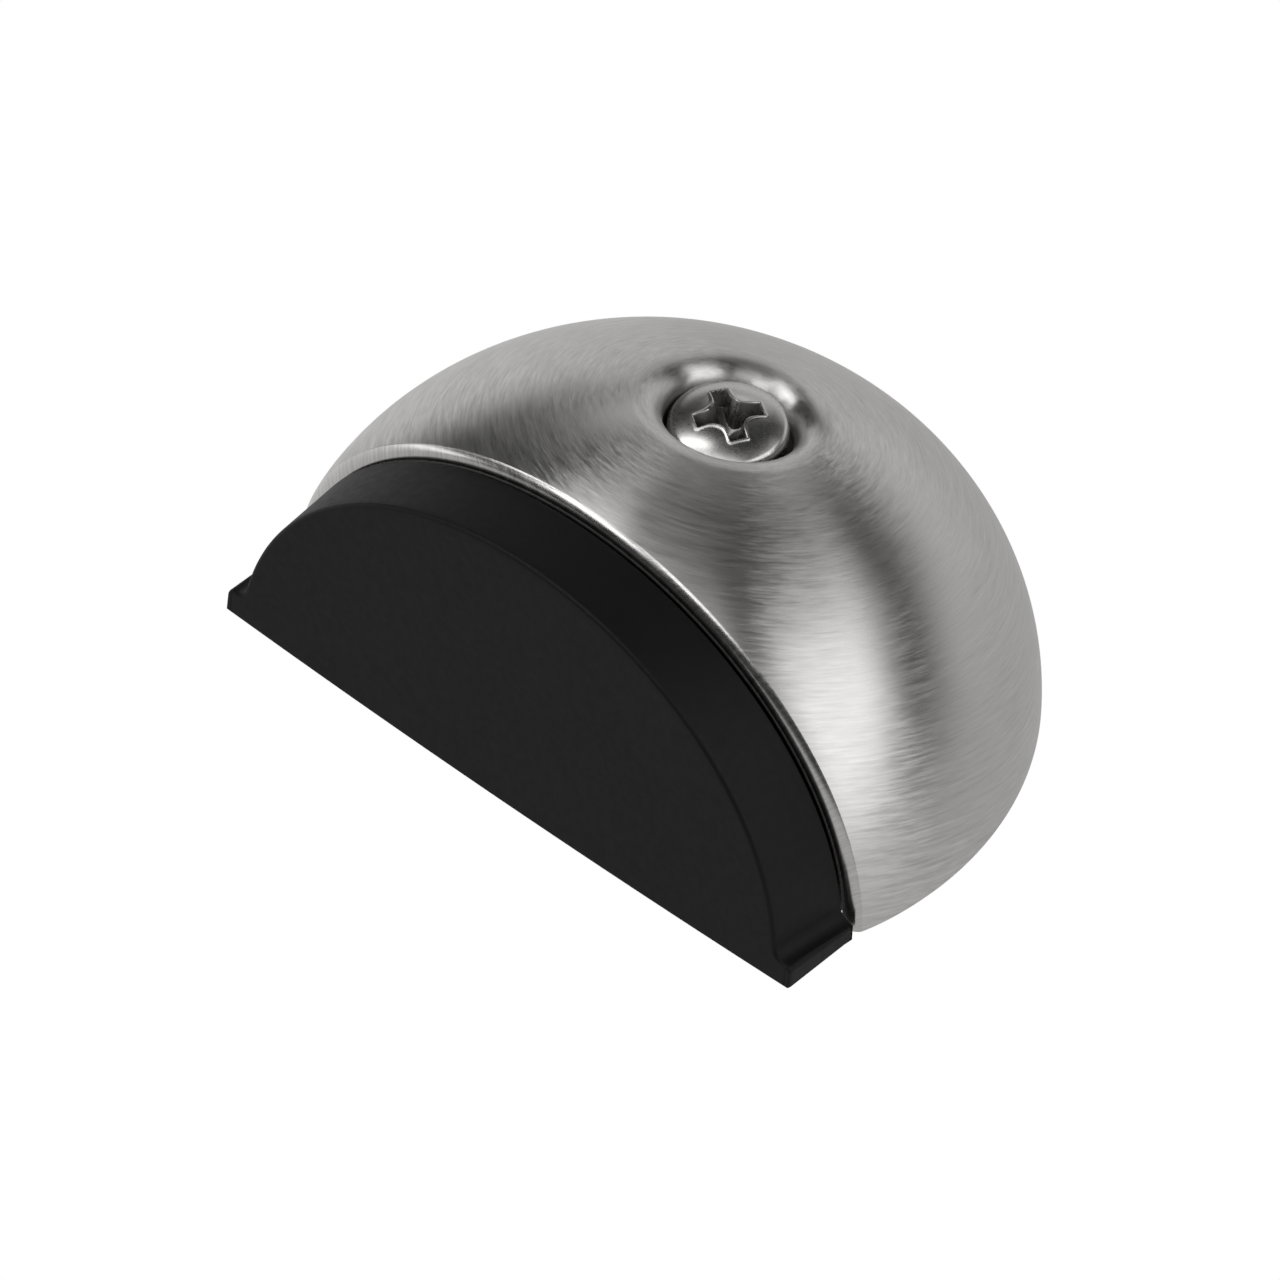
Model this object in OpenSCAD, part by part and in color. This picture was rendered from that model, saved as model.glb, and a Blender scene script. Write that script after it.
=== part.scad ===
// Half-dome floor door stop, drawn in mm. +Z is up and the floor is z = 0.
// The origin is the axis of the dome on the floor. The rubber front points along -Y.

/* [Dome shell] */
// Radius of the dome where it stands on the floor
dome_r = 30; // [28.5:0.1:31]
// Height of the dome on its own axis
dome_h = 26.2; // [25.8:0.1:27]
// Radius of the flatter arc over the crown of the dome
crown_r = 33; // [32.6:0.1:34]
// Thickness of the cast wall
wall = 1.5; // [1.2:0.1:1.8]
// How far the flat front rim stands in front of the dome axis
rim_y = 8.6; // [8.3:0.1:8.7]

/* [Fixing screw] */
// How far the screw axis stands behind the dome axis
screw_y = 7.6; // [7:0.1:8.2]
// Diameter of the raised screw head
head_d = 9.4; // [8.8:0.1:9.6]
// Height above the floor of the rim round the top of the head
head_z = 23.2; // [22.8:0.1:23.5]
// Height of the straight side of the head
head_side = 1.6; // [1.2:0.1:1.8]
// Height of the raised dome on the head
head_raise = 1.3; // [1:0.1:1.5]
// Outside diameter of the thread
thread_d = 5; // [4.5:0.1:5]
// Pitch of the wood thread
thread_pitch = 2.2; // [2:0.1:2.6]
// Length of the screw under its head
screw_l = 50; // [46:1:54]

/* [Rubber buffer] */
// Half the width of the arched pad at the floor
pad_w = 27.6; // [27.2:0.1:28]
// Height of the arched pad
pad_h = 24.6; // [24:0.1:25]
// How far the bottom edge of the front face stands in front of the dome axis
face_y = 16.7; // [15.5:0.1:18.5]
// Backward lean of the front face in degrees
face_lean = 3.5; // [0:0.5:5]
// Free gap between the pad and the rim of the shell
pad_gap = 0.5; // [0.4:0.05:0.8]
// Half the width of the foot strip under the pad
foot_w = 28.8; // [28.4:0.1:29.2]
// Height of the foot strip
foot_h = 1.8; // [1.5:0.1:2.5]

/* [Floor fixing] */
// Diameter of the wall plug in the floor
plug_d = 8; // [8:0.5:10]
// Length of the wall plug
plug_l = 40; // [36:1:45]
// Diameter of the two locating pins
pin_d = 3; // [2.5:0.1:3.2]
// Length of a locating pin below the floor line
pin_below = 4; // [3:0.5:6]

/* [Hidden] */
fine = 240;
head_r = head_d / 2;
seat_z = head_z - head_side;
washer_t = 0.8;
washer_r = 4.6;
washer_hole_r = 2.7;
well_z = seat_z - washer_t;
well_r = head_r + 0.35;
bore_r = 2.8;
boss_r = 7.2;
boss_z = 17.4;
surf_z = dome_h - crown_r + sqrt(crown_r * crown_r - screw_y * screw_y);
lip_lean = asin(screw_y / crown_r);
lip_r = 2.2;
lip_x = well_r + lip_r;
lip_drop = crown_r - sqrt((crown_r - lip_r) * (crown_r - lip_r) - lip_x * lip_x);
lip_edge = lip_x * crown_r / (crown_r - lip_r);
sleeve_r = 4.4;
pad_back = rim_y + pad_gap;
pad_top_r = 29;
web_front = rim_y - 0.4;
web_t = 2;
web_back = web_front - web_t;
web_w = 25;
web_h = 19.5;
plate_z = 0.4;
plate_t = 3.2;
plate_r = 27.6;
rib_x = 7;
rib_t = 1.6;
rib_h = 12;
rib_l = 7;
stud_x = 13;
stud_z = 9;
stud_r = 2.3;
stud_hole_r = 2.5;
stud_slack = 0.5;
stud_head_r = 3.4;
stud_tip_r = 1.8;
stud_head_l = 3.2;
post_x = 16;
post_y = 9;
post_r = 3.2;
post_z = plate_z + plate_t + 0.1;
tap_bore_r = 1.25;
tap_bore_l = 9;
tap_r = 1.2;
tap_l = 9.5;
tap_hole_r = 1.6;
tap_head_r = 2.8;
tap_head_t = 1.6;
tap_head_z = 0.6;
collar_r = 6.4;
collar_h = 9;
pin_x = 20;
pin_y = 0;
pin_in = 6.5;
pin_edge = 0.4;
pin_neck_r = 1.25;
pin_boss_r = 3.2;
pin_boss_h = 8;
slip = 0.05;
shank_r = thread_d / 2 - 0.6;
root_r = thread_d / 2 - 0.9;
tip_z = seat_z - screw_l;
tip_l = 4.4;
turns = 10;
thread_low = tip_z + tip_l;
wing_w = 1.5;
wing_l = 5.5;
wing_deep = 3;
wing_turn = 58.5;
plug_top = -0.5;
plug_bore = thread_d / 2 + 0.1;
slot_w = 1.2;
slot_from = 12;
collar_l = 11;
leg_r = plug_d / 2 - 0.4;

// Upright arch: a crown arc that runs smoothly into a shoulder arc on each side.
module arch(half_w, high, top_r) {
    side_r = (half_w * half_w + high * high - 2 * high * top_r) / (2 * (half_w - top_r));
    side_x = half_w - side_r;
    drop = top_r - high;
    span = sqrt(side_x * side_x + drop * drop);
    far_x = side_x * 3 * top_r / span;
    far_z = drop * 3 * top_r / span - drop;
    intersection() {
        translate([-half_w - 1, 0]) square([2 * half_w + 2, high + 1]);
        union() {
            intersection() {
                translate([0, -drop]) circle(r = top_r, $fn = fine);
                polygon([[0, -drop], [far_x, far_z], [0, 5 * top_r], [-far_x, far_z]]);
            }
            translate([side_x, 0]) circle(r = side_r, $fn = fine);
            translate([-side_x, 0]) circle(r = side_r, $fn = fine);
        }
    }
}

// Solid of the dome, drawn inward by the given thickness.
module dome(inset) {
    rotate_extrude($fn = fine) intersection() {
        square([dome_r + 1, dome_h + 1]);
        arch(dome_r - inset, dome_h - inset, crown_r - inset);
    }
}

// Soft-edged dimple round the screw head, square to the dome surface.
module dimple() {
    translate([0, screw_y, surf_z]) rotate([-lip_lean, 0, 0]) rotate_extrude($fn = fine) difference() {
        translate([0, -lip_drop]) square([lip_edge, lip_drop + 3]);
        translate([lip_x, -lip_drop]) circle(r = lip_r, $fn = fine);
    }
}

module dome_shell() {
    color([0.72, 0.71, 0.69]) difference() {
        dome(0);
        difference() {
            dome(wall);
            translate([0, screw_y, boss_z]) cylinder(r = boss_r, h = dome_h, $fn = fine);
            for (side = [-1, 1])
                translate([side * post_x, post_y, post_z]) cylinder(r = post_r, h = dome_h, $fn = fine);
        }
        translate([-2 * dome_r, -rim_y - 2 * dome_r, -1]) cube([4 * dome_r, 2 * dome_r, 2 * dome_h]);
        dimple();
        translate([0, screw_y, well_z]) cylinder(r = well_r, h = dome_h, $fn = fine);
        translate([0, screw_y, boss_z - 1]) cylinder(r = bore_r, h = dome_h, $fn = fine);
        for (side = [-1, 1])
            translate([side * post_x, post_y, post_z - 1]) cylinder(r = tap_bore_r, h = tap_bore_l + 1, $fn = 48);
    }
}

// Outline of the pad with its foot strip, seen from the front.
module pad_outline() {
    arch(pad_w, pad_h, pad_top_r);
    translate([-foot_w, 0]) square([2 * foot_w, foot_h]);
}

module rubber_buffer() {
    color([0.09, 0.09, 0.09]) union() {
        difference() {
            translate([0, -pad_back, 0]) rotate([90, 0, 0]) linear_extrude(height = face_y - pad_back + 1)
                pad_outline();
            translate([0, -face_y, 0]) rotate([-face_lean, 0, 0]) translate([-2 * dome_r, -dome_r, -5])
                cube([4 * dome_r, dome_r, 2 * dome_r]);
        }
        for (side = [-1, 1]) translate([side * stud_x, -pad_back - 1, stud_z]) rotate([-90, 0, 0]) {
            cylinder(r = stud_r, h = 1 + pad_back - web_back + stud_slack, $fn = 64);
            translate([0, 0, 1 + pad_back - web_back + stud_slack])
                cylinder(r1 = stud_head_r, r2 = stud_tip_r, h = stud_head_l, $fn = 64);
        }
    }
}

module buffer_carrier() {
    color([0.16, 0.16, 0.17]) difference() {
        union() {
            difference() {
                translate([0, 0, plate_z]) cylinder(r = plate_r, h = plate_t, $fn = fine);
                translate([-2 * dome_r, -web_front - 2 * dome_r, -1]) cube([4 * dome_r, 2 * dome_r, 20]);
            }
            intersection() {
                translate([0, -web_back, 0]) rotate([90, 0, 0]) linear_extrude(height = web_t) arch(web_w, web_h, 26);
                translate([-dome_r, -dome_r, plate_z]) cube([2 * dome_r, 2 * dome_r, dome_h]);
            }
            for (side = [-1, 1]) translate([side * rib_x - rib_t / 2, -web_back - slip, plate_z + plate_t - slip])
                rotate([90, 0, 90]) linear_extrude(height = rib_t) polygon([[0, 0], [rib_l, 0], [0, rib_h]]);
            translate([0, screw_y, plate_z]) cylinder(r = collar_r, h = collar_h, $fn = 96);
            for (side = [-1, 1])
                translate([side * pin_x, pin_y, plate_z]) cylinder(r = pin_boss_r, h = pin_boss_h, $fn = 64);
        }
        for (side = [-1, 1]) {
            translate([side * stud_x, -web_front - 1, stud_z]) rotate([-90, 0, 0])
                cylinder(r = stud_hole_r, h = web_t + 2, $fn = 64);
            translate([side * post_x, post_y, 0]) cylinder(r = tap_hole_r, h = 8, $fn = 48);
            translate([side * post_x, post_y, 0]) cylinder(r = tap_head_r + 0.2, h = tap_head_z + tap_head_t, $fn = 64);
            translate([side * pin_x, pin_y, 0]) cylinder(r = pin_neck_r + 0.02, h = pin_in, $fn = 64);
        }
        translate([0, screw_y, 0]) cylinder(r = sleeve_r + slip, h = 20, $fn = 96);
    }
}

module carrier_screws() {
    color([0.75, 0.75, 0.77]) for (side = [-1, 1]) translate([side * post_x, post_y, tap_head_z]) {
        difference() {
            cylinder(r = tap_head_r, h = tap_head_t, $fn = 64);
            for (turn = [0, 90]) rotate([0, 0, turn]) translate([-1.6, -0.4, -1]) cube([3.2, 0.8, 1.9]);
        }
        translate([0, 0, tap_head_t - slip]) cylinder(r = tap_r, h = tap_l - 1.5, $fn = 48);
        translate([0, 0, tap_head_t + tap_l - 1.6]) cylinder(r1 = tap_r, r2 = 0.3, h = 1.5, $fn = 48);
    }
}

module clamp_sleeve() {
    color([0.78, 0.78, 0.8]) translate([0, screw_y, 0]) difference() {
        cylinder(r = sleeve_r, h = boss_z, $fn = 96);
        translate([0, 0, -1]) cylinder(r = bore_r, h = boss_z + 2, $fn = 96);
    }
}

module screw_washer() {
    color([0.8, 0.8, 0.82]) translate([0, screw_y, well_z]) difference() {
        cylinder(r = washer_r, h = washer_t, $fn = 96);
        translate([0, 0, -1]) cylinder(r = washer_hole_r, h = washer_t + 2, $fn = 96);
    }
}

// Half profile of one thread ridge standing on the root.
module ridge(at_z) {
    polygon([[root_r - 0.2, at_z - 0.6], [thread_d / 2, at_z - 0.08], [thread_d / 2, at_z + 0.08],
             [root_r - 0.2, at_z + 0.4]]);
}

module fixing_screw() {
    cap_r = (head_r * head_r + head_raise * head_raise) / (2 * head_raise);
    color([0.76, 0.75, 0.73]) translate([0, screw_y, 0]) difference() {
        union() {
            translate([0, 0, seat_z]) cylinder(r = head_r, h = head_side, $fn = fine);
            intersection() {
                translate([0, 0, head_z + head_raise - cap_r]) sphere(r = cap_r, $fn = fine);
                translate([0, 0, head_z - slip]) cylinder(r = head_r, h = head_raise + 1, $fn = fine);
            }
            rotate_extrude($fn = 96) {
                translate([0, -1]) square([shank_r, seat_z + 1 + slip]);
                translate([0, thread_low]) square([root_r, -thread_low]);
                polygon([[0, tip_z], [root_r, thread_low], [0, thread_low + 1]]);
                for (step = [0 : turns - 1]) ridge(thread_low + 1 + step * thread_pitch);
            }
        }
        for (turn = [0, 90]) translate([0, 0, head_z + head_raise - wing_deep]) rotate([0, 0, wing_turn + turn])
            translate([-wing_l / 2, -wing_w / 2, 0]) cube([wing_l, wing_w, 5]);
    }
}

module locating_pins() {
    color([0.7, 0.7, 0.72]) for (side = [-1, 1]) translate([side * pin_x, pin_y, -pin_below]) {
        cylinder(r1 = pin_d / 2 - pin_edge, r2 = pin_d / 2, h = pin_edge, $fn = 64);
        translate([0, 0, pin_edge]) cylinder(r = pin_d / 2, h = pin_below - pin_edge, $fn = 64);
        translate([0, 0, pin_below - slip]) cylinder(r = pin_neck_r, h = pin_in + slip, $fn = 64);
    }
}

module floor_plug() {
    low_z = plug_top - plug_l;
    color([0.62, 0.63, 0.64]) translate([0, screw_y, 0]) difference() {
        union() {
            translate([0, 0, plug_top - collar_l]) cylinder(r = plug_d / 2, h = collar_l, $fn = 96);
            translate([0, 0, low_z + 4]) cylinder(r = leg_r, h = plug_l - 5, $fn = 96);
            translate([0, 0, low_z]) cylinder(r1 = leg_r - 0.9, r2 = leg_r, h = 4, $fn = 96);
        }
        translate([0, 0, low_z + 7]) cylinder(r = plug_bore, h = plug_l, $fn = 96);
        for (turn = [0, 90]) rotate([0, 0, turn])
            translate([-plug_d, -slot_w / 2, low_z - 1]) cube([2 * plug_d, slot_w, plug_l - slot_from + 1]);
    }
}

dome_shell();
rubber_buffer();
buffer_carrier();
carrier_screws();
clamp_sleeve();
screw_washer();
fixing_screw();
locating_pins();
floor_plug();
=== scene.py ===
import math

import bmesh
import bpy
import numpy as np
from mathutils import Matrix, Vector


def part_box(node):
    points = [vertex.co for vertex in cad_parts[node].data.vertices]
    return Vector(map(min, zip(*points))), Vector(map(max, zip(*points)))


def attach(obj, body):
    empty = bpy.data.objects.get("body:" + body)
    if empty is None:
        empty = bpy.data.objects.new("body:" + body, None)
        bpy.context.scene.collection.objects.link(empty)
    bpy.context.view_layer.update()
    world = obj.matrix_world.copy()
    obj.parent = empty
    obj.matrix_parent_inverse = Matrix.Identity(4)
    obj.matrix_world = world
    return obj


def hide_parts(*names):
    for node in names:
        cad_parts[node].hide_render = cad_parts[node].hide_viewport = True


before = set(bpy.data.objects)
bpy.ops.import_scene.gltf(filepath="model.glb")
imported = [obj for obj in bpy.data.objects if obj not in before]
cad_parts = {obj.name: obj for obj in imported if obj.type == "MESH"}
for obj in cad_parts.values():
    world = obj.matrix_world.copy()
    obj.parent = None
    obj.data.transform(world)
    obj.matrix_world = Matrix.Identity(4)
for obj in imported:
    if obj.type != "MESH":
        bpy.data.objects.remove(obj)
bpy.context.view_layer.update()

MM = 0.001

# ---------------------------------------------------------------- places, all read from the CAD frame (mm)
def box_mm(node):
    """Lowest and highest corner of a CAD node."""
    return [np.array(corner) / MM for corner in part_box(node)]


shell_lo, shell_hi = box_mm("dome_shell")
pad_lo, pad_hi = box_mm("rubber_buffer")
screw_lo, screw_hi = box_mm("fixing_screw")
washer_lo, washer_hi = box_mm("screw_washer")
csk_lo, csk_hi = box_mm("carrier_screws")

DOME_R = shell_hi[1]         # the dome is half an ellipse turned round an upright axis at the origin
DOME_H = shell_hi[2]
RIM_Y = shell_lo[1]
SCREW_Y = (screw_lo[1] + screw_hi[1]) / 2
HEAD_R = (screw_hi[0] - screw_lo[0]) / 2
HEAD_TOP = screw_hi[2]
SEAT_Z = washer_hi[2]
WELL_Z = washer_lo[2]
WELL_R = HEAD_R + 0.35
BOSS_Z = box_mm("clamp_sleeve")[1][2]

# sizes in mm that the boxes don't give: shell wall, screw boss, and the bore through it
WALL = 1.5
BOSS_R = 7.2
BORE_R = 2.8

# points nearer to each other than this, in metres, are one point
WELD = 3e-7


# ---------------------------------------------------------------- small mesh helpers
def unit(v):
    """Vectors brought to length one."""
    return v / np.linalg.norm(v, axis=-1, keepdims=True)


def slerp(a, b, t):
    """Unit vectors turning from a to b; a and b are (n, 3), t is (m,). Returns (n, m, 3)."""
    angle = np.arccos(np.clip((a * b).sum(-1), -1, 1))[:, None, None]
    t = t[None, :, None]
    return (np.sin((1 - t) * angle) * a[:, None] + np.sin(t * angle) * b[:, None]) / np.sin(angle)


class Builder:
    """Collects grids of points and turns them into one mesh object."""

    def __init__(self):
        self.points, self.faces, self.count = [], [], 0

    def grid(self, p, wrap_u=False):
        """Adds a sheet of faces over points (nu, nv, 3), closed into a ring along u if asked."""
        p = np.asarray(p, float)
        nu, nv = p.shape[:2]
        base = self.count
        self.points.append(p.reshape(-1, 3))
        self.count += nu * nv
        for i in range(nu if wrap_u else nu - 1):
            here, there = base + i * nv, base + (i + 1) % nu * nv
            for j in range(nv - 1):
                self.faces.append((here + j, there + j, there + j + 1, here + j + 1))

    def make(self, name, sharp):
        """Welds the grids into one smooth object, creased where faces meet at more than sharp degrees."""
        me = bpy.data.meshes.new(name)
        me.from_pydata((np.concatenate(self.points) * MM).tolist(), [], self.faces)
        bm = bmesh.new()
        bm.from_mesh(me)
        bmesh.ops.remove_doubles(bm, verts=bm.verts, dist=WELD)
        bmesh.ops.dissolve_degenerate(bm, edges=bm.edges, dist=WELD)
        bmesh.ops.recalc_face_normals(bm, faces=bm.faces)
        bm.to_mesh(me)
        bm.free()
        for poly in me.polygons:
            poly.use_smooth = True
        me.set_sharp_from_angle(angle=math.radians(sharp))
        ob = bpy.data.objects.new(name, me)
        bpy.context.scene.collection.objects.link(ob)
        return ob


def finished(build, name, sharp, node, body):
    """Makes the object, puts it in the place of a CAD node and hangs it on a body."""
    ob = build.make(name, sharp)
    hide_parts(node)
    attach(ob, body)
    return ob


def ring(radius, z, n, x=0.0, y=0.0):
    """n points on a level circle about (x, y)."""
    a = np.linspace(0, 2 * np.pi, n, endpoint=False)
    return np.stack([x + radius * np.cos(a), y + radius * np.sin(a), np.full(n, float(z))], -1)


def turned(profile, n, x=0.0, y=0.0):
    """Points of a surface turned about an upright axis through (x, y). profile is a list of (radius, z)."""
    return np.stack([ring(r, z, n, x, y) for r, z in profile], 1)


# ---------------------------------------------------------------- the dome's outline
def dome_frame(t):
    """Radius, height and outward normal (radial, up) at angle t from the crown."""
    nr, nz = np.sin(t) / DOME_R, np.cos(t) / DOME_H
    k = np.hypot(nr, nz)
    return DOME_R * np.sin(t), DOME_H * np.cos(t), nr / k, nz / k


def dome_inset(radius, depth):
    """The dome drawn inward by depth: height and normal where its radius has the given value."""
    lo, hi = np.zeros_like(radius), np.full_like(radius, np.pi / 2)
    for _ in range(50):
        mid = (lo + hi) / 2
        r, z, nr, nz = dome_frame(mid)
        inside = r - depth * nr < radius
        lo, hi = np.where(inside, mid, lo), np.where(inside, hi, mid)
    r, z, nr, nz = dome_frame((lo + hi) / 2)
    return z - depth * nz, nr, nz


def dome_point(xy, depth=0.0):
    """Points of the inset dome over plan points xy (..., 2), with outward normals."""
    radius = np.hypot(xy[..., 0], xy[..., 1])
    z, nr, nz = dome_inset(np.minimum(radius, DOME_R - depth), depth)
    e = xy / np.maximum(radius, 1e-9)[..., None]
    return (np.concatenate([xy, z[..., None]], -1),
            np.concatenate([e * nr[..., None], nz[..., None]], -1))


# ---------------------------------------------------------------- cast shell
LIP_R = 2.3           # ball rolled between the dome and the wall of the screw well
RIM_R = 1.22          # round of the rim's outer edge
RIM_IN_R = 0.3        # round of the rim's inner edge
RIM_START = 0.2       # share of the outer round that is left out, so that the rim starts with a crease
FRONT_STEPS = 221     # points along the rim, from one floor end to the other
FLOOR_STEPS = 281     # points along the floor line
FRONT = np.array([0.0, -1.0, 0.0])
SCREW_AXIS = np.array([0.0, SCREW_Y])


def front_curve(depth, back):
    """Where the dome drawn inward by depth crosses the plane that stands back behind the rim plane."""
    y = RIM_Y + back
    x_end = math.sqrt((DOME_R - depth) ** 2 - y * y)
    x = -x_end * np.cos(np.pi * np.linspace(0, 1, FRONT_STEPS))
    return dome_point(np.stack([x, np.full_like(x, y)], -1), depth)


def floor_arc(radius, front):
    """The floor line round the back, from the right end of a front curve to its left end."""
    first = math.atan2(front[-1][1], front[-1][0])
    turn = np.linspace(first, math.pi - first, FLOOR_STEPS)
    arc = np.stack([radius * np.cos(turn), radius * np.sin(turn), np.zeros_like(turn)], -1)
    arc[0], arc[-1] = front[-1], front[0]
    return arc


def directions_round_screw(edge):
    """A plan direction for each point of the outer edge, shared out half by angle and half by length."""
    angle = np.unwrap(np.arctan2(edge[:, 1] - SCREW_Y, edge[:, 0]))
    steps = np.linalg.norm(np.diff(edge, axis=0, append=edge[:1]), axis=1)
    along = (np.cumsum(steps) - steps) / steps.sum()
    angle = 0.5 * angle + 0.5 * (angle[0] + 2 * np.pi * along)
    return np.stack([np.cos(angle), np.sin(angle)], -1)


def level_loop(u, radius, z):
    """A level ring round the screw's axis, with its points in the directions u."""
    return np.concatenate([SCREW_AXIS + radius * u, np.full((len(u), 1), z)], -1)


def straight_down(loop, z, rows):
    """A wall from a loop of points straight down to height z."""
    wall = loop[:, None].repeat(rows, 1)
    wall[:, :, 2] += (z - wall[:, :, 2]) * np.linspace(0, 1, rows)
    return wall


def dome_sheet(inner, outer, rows, depth=0.0):
    """The dome drawn inward by depth, between two loops, with its rows closer towards the outer one."""
    share = np.sin(np.linspace(0, 1, rows) * np.pi / 2)
    plan = inner[:, None, :2] + (outer[:, None, :2] - inner[:, None, :2]) * share[None, :, None]
    sheet, _ = dome_point(plan, depth)
    sheet[:, -1] = outer
    return sheet


def add_screw_well(build, u):
    """Dimple, wall, seat, bore and underside of the boss. Returns the loop where dimple and dome meet."""
    centre, normal = dome_point(SCREW_AXIS + (WELL_R + LIP_R) * u, LIP_R)
    inward = np.concatenate([-u, np.zeros((len(u), 1))], -1)
    roll = centre[:, None] + LIP_R * slerp(normal, inward, np.linspace(0, 1, 26))
    build.grid(roll, wrap_u=True)
    build.grid(straight_down(roll[:, -1], WELL_Z, 6), wrap_u=True)
    for start, end in (((WELL_R, WELL_Z), (BORE_R, WELL_Z)),
                       ((BORE_R, WELL_Z), (BORE_R, BOSS_Z)),
                       ((BORE_R, BOSS_Z), (BOSS_R, BOSS_Z))):
        build.grid(np.stack([level_loop(u, *start), level_loop(u, *end)], 1), wrap_u=True)
    return centre + LIP_R * normal


def add_rim(build, centre, normal):
    """Rolled outer edge, flat band and rolled inner edge of the flat front. Returns the three strips."""
    toward = np.broadcast_to(FRONT, normal.shape)
    edge = centre[:, None] + RIM_R * slerp(normal, toward, np.linspace(RIM_START, 1, 26))
    centre_in, normal_in = front_curve(WALL - RIM_IN_R, RIM_IN_R)
    edge_in = centre_in[:, None] + RIM_IN_R * slerp(toward, -normal_in, np.linspace(0, 1, 12))
    band = edge[:, -1:] + (edge_in[:, :1] - edge[:, -1:]) * np.linspace(0, 1, 5)[None, :, None]
    for strip in (edge, band, edge_in):
        build.grid(strip)
    return edge, band, edge_in


def add_underside(build, outer, inner, rim):
    """The flat ring that stands on the floor, and its two ends behind the rim."""
    build.grid(np.stack([outer, inner], 1))
    for end in (0, -1):
        across = np.concatenate([strip[end] for strip in rim])
        across[:, 2] = 0
        tip, tip_in = (outer[-1], inner[-1]) if end == 0 else (outer[0], inner[0])
        build.grid(np.stack([across, np.broadcast_to(tip, across.shape)], 1))
        build.grid(np.stack([np.array([tip, tip]), np.array([across[-1], tip_in])], 1))


def add_posts(build):
    """The two posts that take the carrier's screws; their tops are buried in the wall above them."""
    post_r, hole_r, foot_z, hole_top, buried = 3.2, 1.25, 3.7, 12.6, 1.1
    csk_head_r = 2.8
    x, y = csk_hi[0] - csk_head_r, (csk_lo[1] + csk_hi[1]) / 2
    # the last two points are the top, whose height is found from the dome
    profile = [(0, hole_top), (hole_r, hole_top), (hole_r, foot_z), (post_r, foot_z), (post_r, 0), (0, 0)]
    for side in (-1, 1):
        post = turned(profile, 48, side * x, y)
        post[:, -2:] = dome_point(post[:, -2:, :2], buried)[0]
        build.grid(post, wrap_u=True)


def ease_front(points):
    """The skin draws in a little over the last millimetres before its front edge."""
    reach, amount = 3.4, 0.1
    near = np.clip((RIM_Y + reach - points[:, 1]) / reach, 0, 1)
    away = unit(points / np.array([DOME_R ** 2, DOME_R ** 2, DOME_H ** 2]))
    points -= away * (amount * near ** 2)[:, None]


def build_shell():
    build = Builder()
    # the rim's round turns from the dome's normal, which leans this much forward there, to straight ahead
    normal_lean = 0.26
    round_turn = math.pi / 2 - normal_lean
    centre, normal = front_curve(RIM_R * math.cos(RIM_START * round_turn), RIM_R)
    toward = np.broadcast_to(FRONT, normal.shape)
    front_edge = centre + RIM_R * slerp(normal, toward, np.array([RIM_START]))[:, 0]
    floor_edge = floor_arc(DOME_R, front_edge)
    outer = np.concatenate([floor_edge[:-1], front_edge[:-1]])
    u = directions_round_screw(outer)

    inner = add_screw_well(build, u)
    skin = dome_sheet(inner, outer, 130)
    skin[:, 0] = inner
    build.grid(skin, wrap_u=True)
    rim = add_rim(build, centre, normal)

    front_in = rim[-1][:, -1]
    floor_in = floor_arc(DOME_R - WALL, front_in)
    add_underside(build, floor_edge, floor_in, rim)
    ceiling = dome_sheet(SCREW_AXIS + BOSS_R * u, np.concatenate([floor_in[:-1], front_in[:-1]]), 60, WALL)
    build.grid(ceiling, wrap_u=True)
    build.grid(straight_down(ceiling[:, 0], BOSS_Z, 8), wrap_u=True)
    add_posts(build)
    for points in build.points:
        ease_front(points)
    return finished(build, "shell_skin", 12, "dome_shell", "stop_body")


# ---------------------------------------------------------------- rubber buffer
PAD_BACK = -9.1                              # back face of the pad
PAD_FRONT = pad_lo[1] - 0.1                  # front face at the floor, before its crown
PAD_LEAN = math.tan(math.radians(3.5))
PAD_CROWN_R = 900.0
PAD_EDGE_R, PAD_BACK_R = 0.35, 0.12          # rounds of the front and the back edge
STUD_X = 13
END_ROWS = 25                                # points up each end of the foot strip


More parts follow.
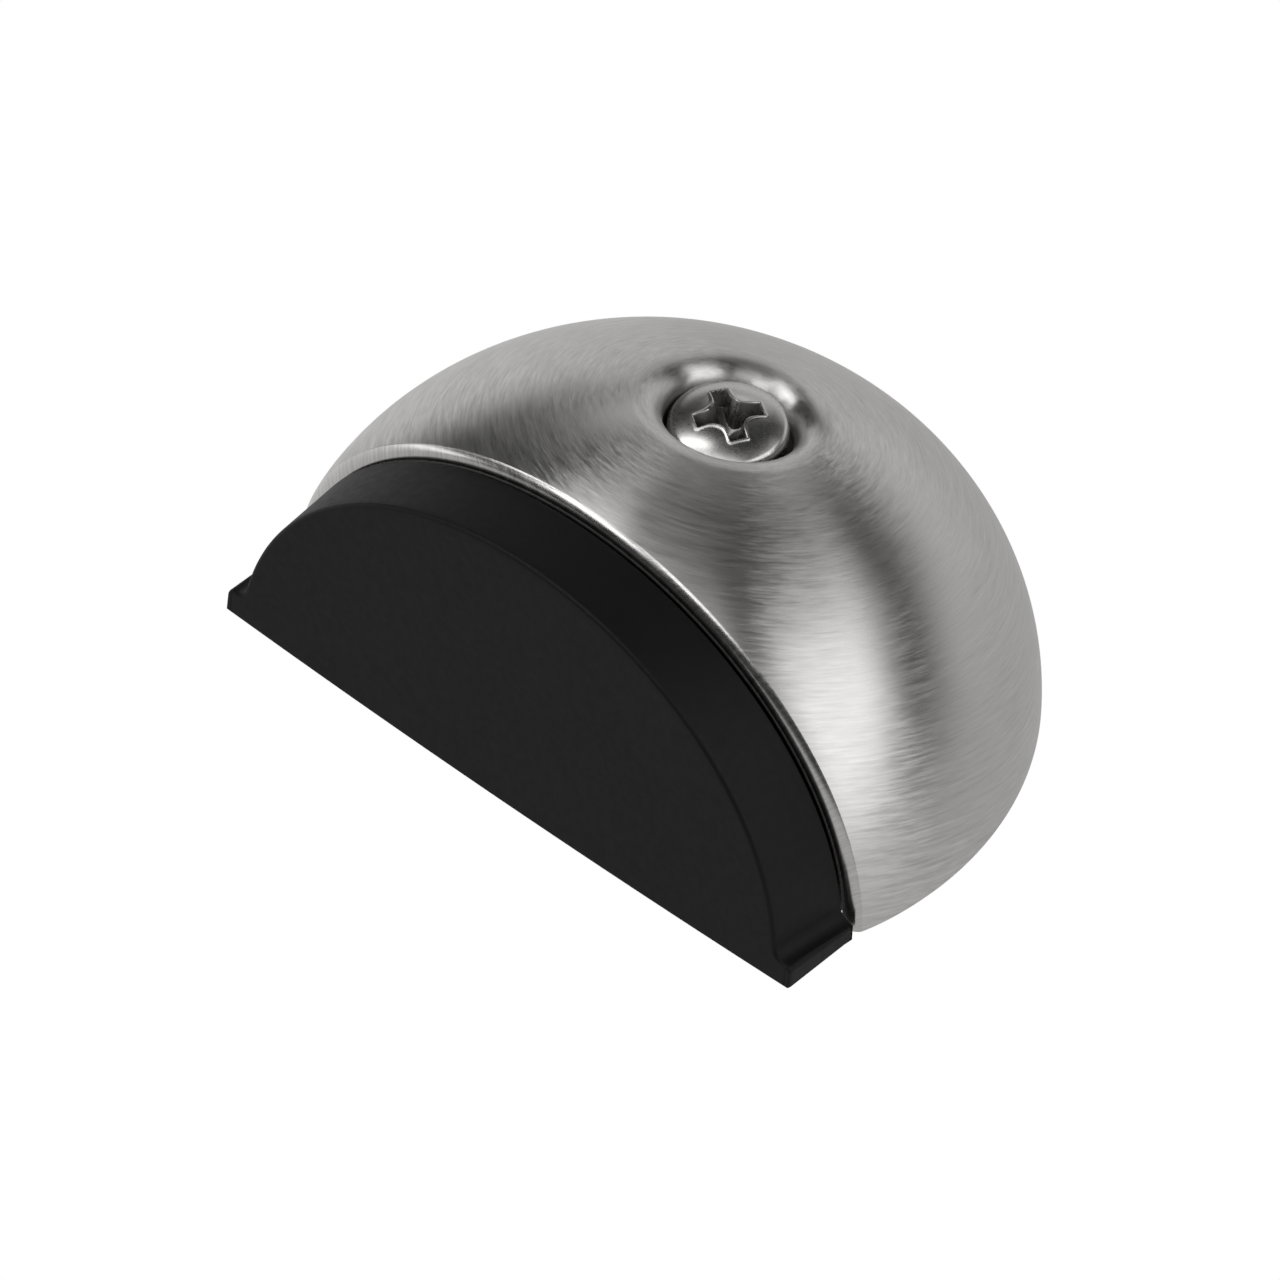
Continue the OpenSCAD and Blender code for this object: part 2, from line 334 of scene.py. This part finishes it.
def rubber_outline(half_w, high, foot_h):
    """Points (x, z) and normals, from the left bottom corner up the foot, over the arch and down."""
    fillet, corner, foot_w = 1.3, 0.5, pad_hi[0]
    t0 = math.asin((foot_h + fillet * 0.9) / high)
    t = np.linspace(np.pi - t0, t0, 341)
    arch = np.stack([half_w * np.cos(t), high * np.sin(t)], -1)
    arch_n = unit(np.stack([np.cos(t) / half_w, np.sin(t) / high], -1))
    # rounded outer corner of the foot
    turn = np.linspace(math.pi, math.pi / 2, 8)
    round_n = np.stack([np.cos(turn), np.sin(turn)], -1)
    bend = np.array([corner - foot_w, foot_h - corner]) + corner * round_n
    # concave fillet between the top of the foot and the arch wall
    end = math.atan2(-arch_n[0, 1], -arch_n[0, 0])
    turn = np.linspace(-math.pi / 2, end, 11)[:-1]
    hollow_n = -np.stack([np.cos(turn), np.sin(turn)], -1)
    hollow = np.array([arch[0, 0] + fillet * arch_n[0, 0], foot_h + fillet]) - fillet * hollow_n
    # upright end and flat top of the foot
    rise = bend[0, 1] * np.linspace(0, 1, END_ROWS + 1)[:-1]
    upright = np.stack([np.full(END_ROWS, -foot_w), rise], -1)
    flat_x = np.linspace(bend[-1, 0], hollow[0, 0], 6)[1:-1]
    flat = np.stack([flat_x, np.full_like(flat_x, foot_h)], -1)
    left = np.concatenate([upright, bend, flat, hollow])
    left_n = np.concatenate([np.broadcast_to([-1.0, 0.0], upright.shape), round_n,
                             np.broadcast_to([0.0, 1.0], flat.shape), hollow_n])
    mirror = np.array([-1, 1])
    return (np.concatenate([left, arch, (left * mirror)[::-1]]),
            np.concatenate([left_n, arch_n, (left_n * mirror)[::-1]]))


def rubber_section(half_w, high, foot_h, inset):
    """The outline drawn inward by inset, which is less on the thin foot."""
    foot_share, foot_margin = 0.4, 0.3
    points, normals = rubber_outline(half_w, high, foot_h)
    amount = np.where(points[:, 1] < foot_h + foot_margin, foot_share * inset, inset)
    section = points - normals * amount[:, None]
    section[:, 1] = np.maximum(section[:, 1], 0)
    return section


def rubber_face_y(x, z, push=0.0):
    """The front face: slightly crowned across, leaning back towards its top, drawn back by push."""
    return PAD_FRONT + x * x / (2 * PAD_CROWN_R) + z * PAD_LEAN + push


def rubber_wall():
    """Outlines from the back edge to the front edge: a round, walls with a little draft, and a round."""
    # each row is: share of the way to the front, inset, where the way starts, how far the front is drawn back
    rows = []
    for a in np.linspace(0, np.pi / 2, 6)[:-1]:
        rows.append((0.0, PAD_BACK_R * (1 - math.sin(a)), PAD_BACK - PAD_BACK_R * (1 - math.cos(a)), 0.0))
    for d in np.linspace(0, 1, 16):
        rows.append((d, 0.0, PAD_BACK - PAD_BACK_R, PAD_EDGE_R))
    for a in np.linspace(0, np.pi / 2, 10)[1:]:
        rows.append((1.0, PAD_EDGE_R * (1 - math.cos(a)), PAD_BACK, PAD_EDGE_R * (1 - math.sin(a))))
    loops = []
    for d, inset, back, push in rows:
        half_w, high, foot_h = 27.75 - 0.45 * d, 24.35 + 0.25 * d, 1.6 + 0.4 * d
        p = rubber_section(half_w, high, foot_h, inset)
        y = back + (rubber_face_y(p[:, 0], p[:, 1], push) - back) * d
        loops.append(np.stack([p[:, 0], y, p[:, 1]], -1))
    return np.stack(loops, 1)


def rubber_cap(loop, y_of):
    """Closes an outline with strips down to the floor line, from one end of the foot to the other."""
    top = loop[END_ROWS:-END_ROWS]
    strip = np.repeat(top[:, None], END_ROWS + 1, 1)
    strip[:, :, 2] *= 1 - np.linspace(0, 1, END_ROWS + 1)
    strip[:, 1:, 1] = y_of(strip[:, 1:, 0], strip[:, 1:, 2])
    strip[0], strip[-1] = loop[END_ROWS::-1], loop[-END_ROWS - 1:]
    return strip


def rubber_stud(x):
    """One pull-through stud: a neck and a barbed head, pointing backwards out of the pad."""
    height, neck_r, barb_r, tip_r = 9.0, 2.3, 3.4, 1.7
    buried, barb, tip, barb_round, tip_round = -0.5, 3.4, 6.6, 0.15, 0.2
    profile = [(0.0, buried), (neck_r, buried), (neck_r, barb),
               (barb_r - barb_round, barb), (barb_r, barb + barb_round),
               (tip_r + tip_round, tip - tip_round), (tip_r, tip), (0.0, tip)]
    stud = turned(profile, 48)
    return np.stack([x + stud[..., 0], PAD_BACK + stud[..., 2], height + stud[..., 1]], -1)


def build_rubber():
    build = Builder()
    wall = rubber_wall()
    build.grid(wall)
    front = rubber_cap(wall[:, -1], rubber_face_y)
    back = rubber_cap(wall[:, 0], lambda x, z: np.full_like(x, PAD_BACK))
    build.grid(front)
    build.grid(back)
    # underside, between the bottom edges of the two caps
    span = (wall[0, :, 1] - wall[0, 0, 1]) / (wall[0, -1, 1] - wall[0, 0, 1])
    under = back[:, -1][:, None] + (front[:, -1] - back[:, -1])[:, None] * span[None, :, None]
    under[0], under[-1] = wall[0], wall[-1]
    build.grid(under)
    for x in (-STUD_X, STUD_X):
        build.grid(rubber_stud(x), wrap_u=True)
    return finished(build, "rubber_pad", 50, "rubber_buffer", "buffer")


# ---------------------------------------------------------------- fixing screw
def recess_distance(x, y):
    """Distance, about, to the edge of the cross recess: negative inside. It has a few small burrs."""
    turn, reach, half_w, taper, merge = math.radians(58.5), 2.68, 0.72, -0.06, 1.3
    burr, burrs_round, burr_phase, burr_reach = 0.015, 9, 1.3, 0.4
    cx, cy = x * math.cos(turn) + y * math.sin(turn), -x * math.sin(turn) + y * math.cos(turn)

    def wing(a, b):
        dx, dy = np.abs(a) - reach, np.abs(b) - (half_w + taper * (np.abs(a) / reach))
        return np.hypot(np.maximum(dx, 0), np.maximum(dy, 0)) + np.minimum(np.maximum(dx, dy), 0)

    d1, d2 = wing(cx, cy), wing(cy, cx)
    h = np.clip(0.5 + 0.5 * (d2 - d1) / merge, 0, 1)
    d = d2 * (1 - h) + d1 * h - merge * h * (1 - h)
    return d + burr * np.sin(burrs_round * np.arctan2(cy, cx) + burr_phase) * np.exp(-(d / burr_reach) ** 2)


def head_height(x, y):
    """Height of the head's top: a crown, a soft outer edge and the recess with its raised lip."""
    skirt_h, edge_r, edge_drop, crown_power = 1.6, 0.45, 0.9, 2.6
    lip_high, lip_wide = 0.07, 0.10
    r = np.hypot(x, y)
    crown = HEAD_TOP - (HEAD_TOP - SEAT_Z - skirt_h) * (r / HEAD_R) ** crown_power
    t = np.clip((r - (HEAD_R - edge_r)) / edge_r, 0, 1)
    z = crown - edge_r * (1 - np.sqrt(1 - t ** 2)) * edge_drop
    d = recess_distance(x, y)
    # steep walls down to wing floors that slope into a deep middle
    wall_slope, middle_depth, floor_slope = 4.4, 2.75, 0.5
    depth = np.minimum(np.maximum(-d, 0) * wall_slope, middle_depth - floor_slope * r)
    lip = lip_high * np.exp(-((d - lip_wide) / lip_wide) ** 2)
    return z - depth + lip * (r < HEAD_R - 0.5)


def add_head(build):
    """The top is a fine square grid bent into a disc, so that the recess walls stay crisp."""
    s = np.linspace(-1, 1, 241)
    gx, gy = np.meshgrid(s, s, indexing="ij")
    x = gx * np.sqrt(1 - gy * gy / 2) * HEAD_R
    y = gy * np.sqrt(1 - gx * gx / 2) * HEAD_R
    head = np.stack([x, y + SCREW_Y, head_height(x, y)], -1)
    build.grid(head)
    loop = np.concatenate([head[:, 0], head[-1, 1:], head[-2::-1, -1], head[0, -2:0:-1]])
    # down the skirt, round the lower edge and in to the axis: share of the radius, height over the seat
    rows = [loop]
    for share, height in ((1, 1.1), (1, 0.15), (0.985, 0.02), (0.96, 0), (0.6, 0), (0, 0)):
        plan = SCREW_AXIS + (loop[:, :2] - SCREW_AXIS) * share
        rows.append(np.concatenate([plan, np.full((len(loop), 1), SEAT_Z + height)], -1))
    build.grid(np.stack(rows[:3], 1), wrap_u=True)
    build.grid(np.stack(rows[2:], 1), wrap_u=True)


def add_shank(build):
    """Helical wood thread that fades out at the tip and at the top, and the plain shank above it."""
    pitch, root, crest, shank = 2.2, 1.6, 2.5, 1.9
    tip_z, thread_top, neck = screw_lo[2], -1.0, 0.5
    tooth_share, tooth_curve, tip_long, cone_long = 0.21, 0.85, 6.5, 4.4
    columns = 72
    turn, z = np.meshgrid(np.linspace(0, 2 * np.pi, columns, endpoint=False),
                          np.linspace(tip_z, thread_top, 520), indexing="ij")
    phase = np.mod(z / pitch - turn / (2 * np.pi), 1.0)
    tooth = np.clip(1 - np.abs(phase - 0.5) / tooth_share, 0, 1) ** tooth_curve
    fade_tip = np.clip((z - tip_z) / tip_long, 0, 1) ** 0.7
    fade_top = np.clip((-1.6 - z) / 1.4, 0, 1)
    core = root * np.clip((z - tip_z) / cone_long, 0, 1) ** 0.8 + 0.02
    radius = np.maximum(core + (crest - root) * tooth * fade_tip * fade_top,
                        shank * np.clip((z + 3.0) / 1.6, 0, 1))
    radius[:, -1], radius[:, 0] = shank, 0
    build.grid(np.stack([radius * np.cos(turn), SCREW_Y + radius * np.sin(turn), z], -1), wrap_u=True)
    profile = [(shank, thread_top), (shank, 8.0), (shank, SEAT_Z - 0.6), (shank + neck, SEAT_Z),
               (shank + neck, SEAT_Z + 0.05), (0.0, SEAT_Z + 0.05)]
    build.grid(turned(profile, columns, 0, SCREW_Y), wrap_u=True)


def build_screw():
    build = Builder()
    add_head(build)
    add_shank(build)
    return finished(build, "screw_body", 38, "fixing_screw", "screw")


shell = build_shell()
rubber = build_rubber()
screw = build_screw()


# ---------------------------------------------------------------- node trees
class Shader:
    """A node tree and short ways to add to it. Values are numbers, tuples or outputs of other nodes."""

    def __init__(self, tree):
        self.tree = tree
        tree.nodes.clear()

    def add(self, kind, **settings):
        node = self.tree.nodes.new(kind)
        for name, value in settings.items():
            setattr(node, name, value)
        return node

    def put(self, value, socket):
        if isinstance(value, bpy.types.NodeSocket):
            self.tree.links.new(value, socket)
        else:
            socket.default_value = value

    def math(self, operation, a, b=None, clamp=False):
        node = self.add("ShaderNodeMath", operation=operation, use_clamp=clamp)
        self.put(a, node.inputs[0])
        if b is not None:
            self.put(b, node.inputs[1])
        return node.outputs[0]

    def plus(self, a, b):
        return self.math("ADD", a, b)

    def minus(self, a, b):
        return self.math("SUBTRACT", a, b)

    def times(self, a, b, clamp=False):
        return self.math("MULTIPLY", a, b, clamp)

    def hypot(self, a, b):
        return self.math("SQRT", self.plus(self.times(a, a), self.times(b, b)))

    def vector(self, operation, a, b=None, result="Vector"):
        node = self.add("ShaderNodeVectorMath", operation=operation)
        self.put(a, node.inputs[0])
        if b is not None:
            self.put(b, node.inputs[1])
        return node.outputs[result]

    def split(self, vector):
        node = self.add("ShaderNodeSeparateXYZ")
        self.put(vector, node.inputs[0])
        return node.outputs

    def joined(self, *values):
        node = self.add("ShaderNodeCombineXYZ")
        for value, socket in zip(values, node.inputs):
            self.put(value, socket)
        return node.outputs[0]

    def ramp(self, value, to=(0.0, 1.0), over=(0.0, 1.0), **settings):
        """Goes from to[0] where value is over[0] to to[1] where it is over[1], and stays there beyond."""
        node = self.add("ShaderNodeMapRange", **settings)
        self.put(value, node.inputs["Value"])
        for name, number in zip(("From Min", "From Max", "To Min", "To Max"), (*over, *to)):
            self.put(number, node.inputs[name])
        return node.outputs[0]

    def place(self):
        return self.add("ShaderNodeTexCoord").outputs["Object"]

    def noise(self, vector, scale, detail, rough):
        node = self.add("ShaderNodeTexNoise")
        for name, value in (("Vector", vector), ("Scale", scale), ("Detail", detail), ("Roughness", rough)):
            self.put(value, node.inputs[name])
        return node.outputs[0]

    def mix(self, factor, first, second):
        """Mixes two colours; each is an (r, g, b) tuple or an output."""
        node = self.add("ShaderNodeMix", data_type="RGBA")
        self.put(factor, node.inputs[0])
        for value, socket in ((first, node.inputs[6]), (second, node.inputs[7])):
            self.put(value + (1,) if isinstance(value, tuple) else value, socket)
        return node.outputs[2]

    def bump(self, height, strength, distance, normal=None):
        node = self.add("ShaderNodeBump")
        for name, value in (("Height", height), ("Strength", strength), ("Distance", distance)):
            self.put(value, node.inputs[name])
        if normal is not None:
            self.put(normal, node.inputs["Normal"])
        return node.outputs[0]

    def rounded(self, radius):
        """The surface's normal with its sharp edges rounded off in the shading."""
        node = self.add("ShaderNodeBevel", samples=4)
        self.put(radius, node.inputs["Radius"])
        return node.outputs[0]

    def worn_edge(self):
        """Nought on flat ground, one along sharp outer edges."""
        return self.ramp(self.add("ShaderNodeNewGeometry").outputs["Pointiness"], over=(0.52, 0.62))


def surface(name):
    """A new material with a Principled node. Returns the material, its shader and the node's inputs."""
    material = bpy.data.materials.new(name)
    material.use_nodes = True
    sh = Shader(material.node_tree)
    principled = sh.add("ShaderNodeBsdfPrincipled")
    sh.put(principled.outputs[0], sh.add("ShaderNodeOutputMaterial").inputs[0])
    return material, sh, principled.inputs


def tinted(color, factor):
    return tuple(min(1.0, c * factor) for c in color)


def mm_span(start, end):
    return (start * MM, end * MM)


# ---------------------------------------------------------------- materials
FINE_RELIEF = 0.00002        # depth of the brushing and of other fine marks, in metres
TREND = (0.3, 0.7)           # where most of a noise's values lie


def rings(sh):
    """Offset from the screw's axis, radius, height, distance from the head's seat, and direction."""
    offset = sh.vector("SUBTRACT", sh.place(), (0, SCREW_Y * MM, 0))
    x, y, z = sh.split(offset)
    r = sh.hypot(x, y)
    along = sh.hypot(r, sh.minus(SEAT_Z * MM, z))
    return offset, r, z, along, (sh.math("DIVIDE", x, r), sh.math("DIVIDE", y, r))


def streaks(sh, along, direction, across, turns, seed, detail=3.0, rough=0.6):
    """Noise drawn out along the rings: fine across them, long round them."""
    cos_a, sin_a = direction
    round_ring = sh.times(cos_a, turns), sh.plus(sh.times(sin_a, turns), seed)
    return sh.noise(sh.joined(*round_ring, sh.times(along, across)), 1.0, detail, rough)


def rim_mask(sh):
    """One on the rolled front rim of the shell, nought elsewhere."""
    return sh.ramp(sh.split(sh.place())[1], over=mm_span(RIM_Y + 0.62, RIM_Y + 0.5))


def inner_lip_shade(sh):
    """Near one on the inner edge of the rim, deeper than most of the wall, where shade is painted; nought
    elsewhere.
    """
    place = sh.place()
    dome_size = (DOME_R * MM, DOME_R * MM, DOME_H * MM)
    size = sh.vector("LENGTH", sh.vector("DIVIDE", place, dome_size), result="Value")
    near_front = sh.ramp(sh.split(place)[1], (1.0, 0.0), mm_span(RIM_Y + 1.3, RIM_Y + 1.8))
    return sh.times(near_front, sh.ramp(size, (0.95, 0.0), (0.956, 0.966)))


def shell_material():
    """Satin brushing in rings round the screw, with a highlight stretched across the rings."""
    material, sh, inputs = surface("satin_shell")
    offset, r, z, along, direction = rings(sh)
    fine = streaks(sh, along, direction, across=7500, turns=5, seed=0.0, detail=2, rough=0.7)
    hair = streaks(sh, along, direction, across=5600, turns=8, seed=4.0, detail=3, rough=0.7)
    coarse = streaks(sh, along, direction, across=3000, turns=3, seed=7.0, detail=2, rough=0.6)
    patch = sh.noise(offset, scale=160, detail=3, rough=0.5)
    grain = sh.plus(sh.times(fine, 0.55), sh.times(coarse, 0.45))

    bright = sh.plus(sh.times(hair, 0.5), sh.times(grain, 0.5))
    color = sh.mix(sh.ramp(bright, over=(0.32, 0.68)), (0.46, 0.455, 0.445), (0.72, 0.71, 0.695))
    # painted shade: the screw well and the inner edge of the rim are made near black, dull and not metal, to
    # stand for the shade deep in the well and in the gap between the rim and the rubber
    well = sh.ramp(r, (1.0, 0.0), mm_span(WELL_R + 0.02, WELL_R + 0.22))
    under = sh.ramp(z, (1.0, 0.0), mm_span(HEAD_TOP - 1.9, HEAD_TOP - 1.2))
    painted_shade = sh.math("MAXIMUM", sh.times(sh.times(well, under), 0.93, clamp=True), inner_lip_shade(sh))
    sh.put(sh.mix(painted_shade, color, (0.02, 0.02, 0.02)), inputs["Base Color"])
    sh.put(sh.minus(1.0, painted_shade), inputs["Metallic"])

    # the rim is rolled smooth, so it mirrors the light in a narrow line
    band = rim_mask(sh)
    rough = sh.plus(sh.ramp(grain, (0.285, 0.345), (0.35, 0.65)), sh.ramp(patch, (-0.012, 0.012), TREND))
    rough = sh.plus(rough, sh.times(painted_shade, 0.25))
    sh.put(sh.times(rough, sh.ramp(band, (1.0, 0.75))), inputs["Roughness"])
    sh.put(sh.ramp(band, (0.88, 0.35)), inputs["Anisotropic"])
    sh.put(sh.vector("NORMALIZE", sh.vector("CROSS_PRODUCT", (0, 0, 1), offset)), inputs["Tangent"])
    # single scratches stand a little off the ring, which makes them catch the light
    stray = sh.times(sh.ramp(hair, (-0.024, 0.024), (0.36, 0.64)), sh.ramp(band, (1.0, 0.1)))
    sh.put(sh.plus(stray, 0.25), inputs["Anisotropic Rotation"])
    relief = sh.plus(sh.times(hair, 0.5), sh.times(grain, 0.8))
    sh.put(sh.bump(relief, sh.ramp(band, (0.4, 0.1)), FINE_RELIEF), inputs["Normal"])
    return material


def rubber_material():
    """Dull black rubber with a fine moulded skin, a little greyer where it is rubbed."""
    material, sh, inputs = surface("black_rubber")
    place = sh.place()
    micro = sh.noise(place, scale=5200, detail=3, rough=0.6)
    skin = sh.noise(place, scale=1300, detail=4, rough=0.6)
    cloud = sh.noise(place, scale=110, detail=4, rough=0.55)
    color = sh.mix(sh.ramp(cloud, over=(0.35, 0.65)), (0.0020, 0.0020, 0.0020), (0.0030, 0.0030, 0.0030))
    color = sh.mix(sh.ramp(sh.worn_edge(), (0, 0.3)), color, (0.0045, 0.0045, 0.0045))
    sh.put(color, inputs["Base Color"])
    sh.put(sh.ramp(skin, (0.52, 0.6), TREND), inputs["Roughness"])
    sh.put(0.225, inputs["Specular IOR Level"])
    skin_normal = sh.bump(skin, 0.04, 0.00003)
    sh.put(sh.bump(micro, 0.12, FINE_RELIEF, skin_normal), inputs["Normal"])
    return material


def metal_material(name, dark, light, roughness, turned_marks, micro_bump, micro_detail, soften):
    """Plain metal part: fine grain, patches of dulled surface, brighter worn edges."""
    material, sh, inputs = surface(name)
    offset, r, z, _, direction = rings(sh)
    micro = sh.noise(offset, scale=4200, detail=micro_detail, rough=0.5)
    cloud = sh.noise(offset, scale=320, detail=4, rough=0.6)
    mark = streaks(sh, r, direction, across=9000, turns=2.5, seed=3.0)
    tone = sh.plus(sh.times(cloud, 0.7), sh.times(micro, 0.3))
    color = sh.mix(sh.ramp(tone, over=(0.35, 0.65)), dark, light)
    color = sh.mix(sh.ramp(sh.worn_edge(), (0, 0.5)), color, tinted(light, 1.35))
    # grime and shade down in the driver recess
    deep = sh.ramp(z, (0.0, 0.75), mm_span(HEAD_TOP - 0.45, HEAD_TOP - 1.8))
    deep = sh.times(deep, sh.ramp(r, (1.0, 0.0), mm_span(3.1, 3.3)))
    deep = sh.times(deep, sh.ramp(z, over=mm_span(SEAT_Z - 0.05, SEAT_Z + 0.05)))
    sh.put(sh.mix(deep, color, tinted(dark, 0.25)), inputs["Base Color"])
    sh.put(1, inputs["Metallic"])
    sh.put(sh.ramp(tone, roughness, TREND), inputs["Roughness"])
    relief = sh.bump(mark, turned_marks, FINE_RELIEF, sh.rounded(0.00012) if soften else None)
    sh.put(sh.bump(micro, micro_bump, FINE_RELIEF, relief), inputs["Normal"])
    return material


def moulded_material(name, dark, light, roughness, fleck):
    """Moulded nylon: mould texture, pale glass flecks, rubbed edges."""
    material, sh, inputs = surface(name)
    place = sh.place()
    micro = sh.noise(place, scale=3600, detail=4, rough=0.65)
    cloud = sh.noise(place, scale=190, detail=3, rough=0.5)
    cells = sh.add("ShaderNodeTexVoronoi")
    sh.put(1500, cells.inputs["Scale"])
    sh.put(place, cells.inputs["Vector"])
    spot = sh.ramp(cells.outputs["Distance"], (1.0, 0.0), (0.05, 0.22))
    color = sh.mix(sh.ramp(cloud, over=TREND), dark, light)
    color = sh.mix(sh.times(spot, fleck, clamp=True), color, tinted(light, 2.2))
    color = sh.mix(sh.ramp(sh.worn_edge(), (0, 0.4)), color, tinted(light, 1.6))
    sh.put(color, inputs["Base Color"])
    sh.put(sh.ramp(micro, roughness, TREND), inputs["Roughness"])
    sh.put(sh.bump(micro, 0.25, 0.00004, sh.rounded(0.0002)), inputs["Normal"])
    return material


def dress(ob, material):
    ob.data.materials.clear()
    ob.data.materials.append(material)


dress(shell, shell_material())
dress(rubber, rubber_material())
zinc = metal_material("zinc_plate", (0.50, 0.52, 0.54), (0.66, 0.67, 0.68), (0.26, 0.42),
                      turned_marks=0.12, micro_bump=0.1, micro_detail=4, soften=True)
polished = metal_material("polished_screw", (0.46, 0.455, 0.445), (0.60, 0.59, 0.575), (0.25, 0.31),
                          turned_marks=0.03, micro_bump=0.01, micro_detail=1, soften=False)
black_nylon = moulded_material("carrier_nylon", (0.018, 0.018, 0.019), (0.03, 0.03, 0.032), (0.45, 0.62),
                               fleck=0.25)
grey_nylon = moulded_material("plug_nylon", (0.30, 0.31, 0.315), (0.42, 0.43, 0.44), (0.4, 0.55),
                              fleck=0.3)
dress(screw, polished)
for node_name, material, slot_name in (("carrier_screws", zinc, "zinc"),
                                       ("clamp_sleeve", zinc, "zinc"),
                                       ("locating_pins", zinc, "zinc"),
                                       ("screw_washer", polished, "screw_steel"),
                                       ("buffer_carrier", black_nylon, "carrier"),
                                       ("floor_plug", grey_nylon, "plug")):
    dress(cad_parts[node_name], material)


# ---------------------------------------------------------------- floor, light and camera
FLOOR_HALF = 3.0             # metres
FLOOR_GLOW = 0.55
FLOOR_EXTRA = 0.22           # added on the brighter side of the sweep
BRIGHT_SIDE = math.radians(165)
SKY_GLOW = 0.02

# soft boxes on the sky: turn from +X, height, half width, half height, softness (degrees), brightness
SOFT_BOXES = [
    (21, 35, 15, 20, 6, 1.55),
    (6, 7, 17, 11, 12, 1.5),
    (-157, 54, 4, 20, 9, 6.0),
    (-68, 69, 24, 10, 7, 1.6),
    (105, 4, 56, 14, 24, 0.8),
    (-158, 4, 17, 4, 8, 2.5),
    (121, 32, 15, 5, 11, 1.5),
    (49, 37, 10, 5, 18, 2.2),
    (-4, 36, 12, 18, 6, 0.7),
    (-124, 38, 12, 9, 6, 3.2),
    (-82, 50, 12, 6, 6, 3.0),
]


def build_floor():
    """A floor just under the part: white to the camera, a soft grey sweep to what mirrors it."""
    material = bpy.data.materials.new("pale_floor")
    material.use_nodes = True
    sh = Shader(material.node_tree)
    bright_side = (math.cos(BRIGHT_SIDE), math.sin(BRIGHT_SIDE), 0)
    facing = sh.vector("DOT_PRODUCT", sh.vector("NORMALIZE", sh.place()), bright_side, result="Value")
    glow = sh.ramp(facing, (FLOOR_GLOW, FLOOR_GLOW + FLOOR_EXTRA), (0.65, 0.97))
    seen = sh.add("ShaderNodeLightPath").outputs["Is Camera Ray"]
    emission = sh.add("ShaderNodeEmission")
    sh.put((1, 1, 1, 1), emission.inputs[0])
    sh.put(sh.math("MAXIMUM", glow, seen), emission.inputs[1])
    sh.put(emission.outputs[0], sh.add("ShaderNodeOutputMaterial").inputs[0])
    mesh = bpy.data.meshes.new("floor")
    low = -0.02 * MM
    corners = [(x * FLOOR_HALF, y * FLOOR_HALF, low) for x, y in ((-1, -1), (1, -1), (1, 1), (-1, 1))]
    mesh.from_pydata(corners, [], [(0, 1, 2, 3)])
    floor = bpy.data.objects.new("floor", mesh)
    bpy.context.scene.collection.objects.link(floor)
    floor.data.materials.append(material)


def soft_box(sh, look, turn, height, half_w, half_h, softness, power):
    """Light from one soft-edged rectangle of the sky, as a node output."""
    a, e = math.radians(turn), math.radians(height)
    centre = np.array([math.cos(a) * math.cos(e), math.sin(a) * math.cos(e), math.sin(e)])
    side = np.array([-math.sin(a), math.cos(a), 0.0])

    def toward(v):
        return sh.vector("DOT_PRODUCT", look, tuple(v), result="Value")

    def inside(angle, half):
        band = (math.radians(half - softness / 2), math.radians(half + softness / 2))
        return sh.ramp(sh.math("ABSOLUTE", angle), (1, 0), band, interpolation_type="SMOOTHSTEP")

    ahead = toward(centre)
    across = sh.math("ARCTAN2", toward(side), ahead)
    upward = sh.math("ARCTAN2", toward(np.cross(centre, side)), ahead)
    return sh.times(sh.times(inside(across, half_w), inside(upward, half_h)), power)


def build_world():
    """A dark sky with the soft boxes for the part to mirror, which the camera itself sees as white."""
    world = bpy.data.worlds.new("studio")
    bpy.context.scene.world = world
    world.use_nodes = True
    sh = Shader(world.node_tree)
    look = sh.add("ShaderNodeTexCoord").outputs["Generated"]
    boxes = [soft_box(sh, look, *box) for box in SOFT_BOXES]
    total = boxes[0]
    for box in boxes[1:]:
        total = sh.plus(total, box)
    total = sh.plus(total, SKY_GLOW)
    seen = sh.add("ShaderNodeLightPath").outputs["Is Camera Ray"]
    background = sh.add("ShaderNodeBackground")
    sh.put((1, 1, 1, 1), background.inputs[0])
    sh.put(sh.plus(sh.times(total, sh.minus(1.0, seen)), seen), background.inputs[1])
    sh.put(background.outputs[0], sh.add("ShaderNodeOutputWorld").inputs[0])


def build_camera():
    """The photo's own view: turned, raised and rolled round the part, with a very long lens."""
    azim, elev, roll = math.radians(39.32), math.radians(46.16), math.radians(3.45)
    # lens in pixels of a square picture with this many a side, distance and sideways shifts in mm
    picture, focal_px, dist_mm, shift_x, shift_y = 1280, 58000.0, 4426.0, 0.687, 3.535
    sensor_mm = 36
    back = np.array([math.sin(azim) * math.cos(elev), -math.cos(azim) * math.cos(elev), math.sin(elev)])
    level = np.array([math.cos(azim), math.sin(azim), 0.0])
    steep = np.cross(back, level)
    right = math.cos(roll) * level + math.sin(roll) * steep
    down = math.sin(roll) * level - math.cos(roll) * steep
    place = -np.array([right, down, -back]).T @ np.array([shift_x, shift_y, dist_mm]) * MM
    data = bpy.data.cameras.new("camera")
    data.sensor_width = sensor_mm
    data.lens = focal_px / picture * sensor_mm
    data.clip_start, data.clip_end = 0.5, 30
    camera = bpy.data.objects.new("camera", data)
    bpy.context.scene.collection.objects.link(camera)
    axes = [[right[i], -down[i], back[i], place[i]] for i in range(3)]
    camera.matrix_world = Matrix(axes + [[0, 0, 0, 1]])
    bpy.context.scene.camera = camera


build_floor()
build_world()
build_camera()
bpy.context.scene.view_settings.view_transform = "Standard"
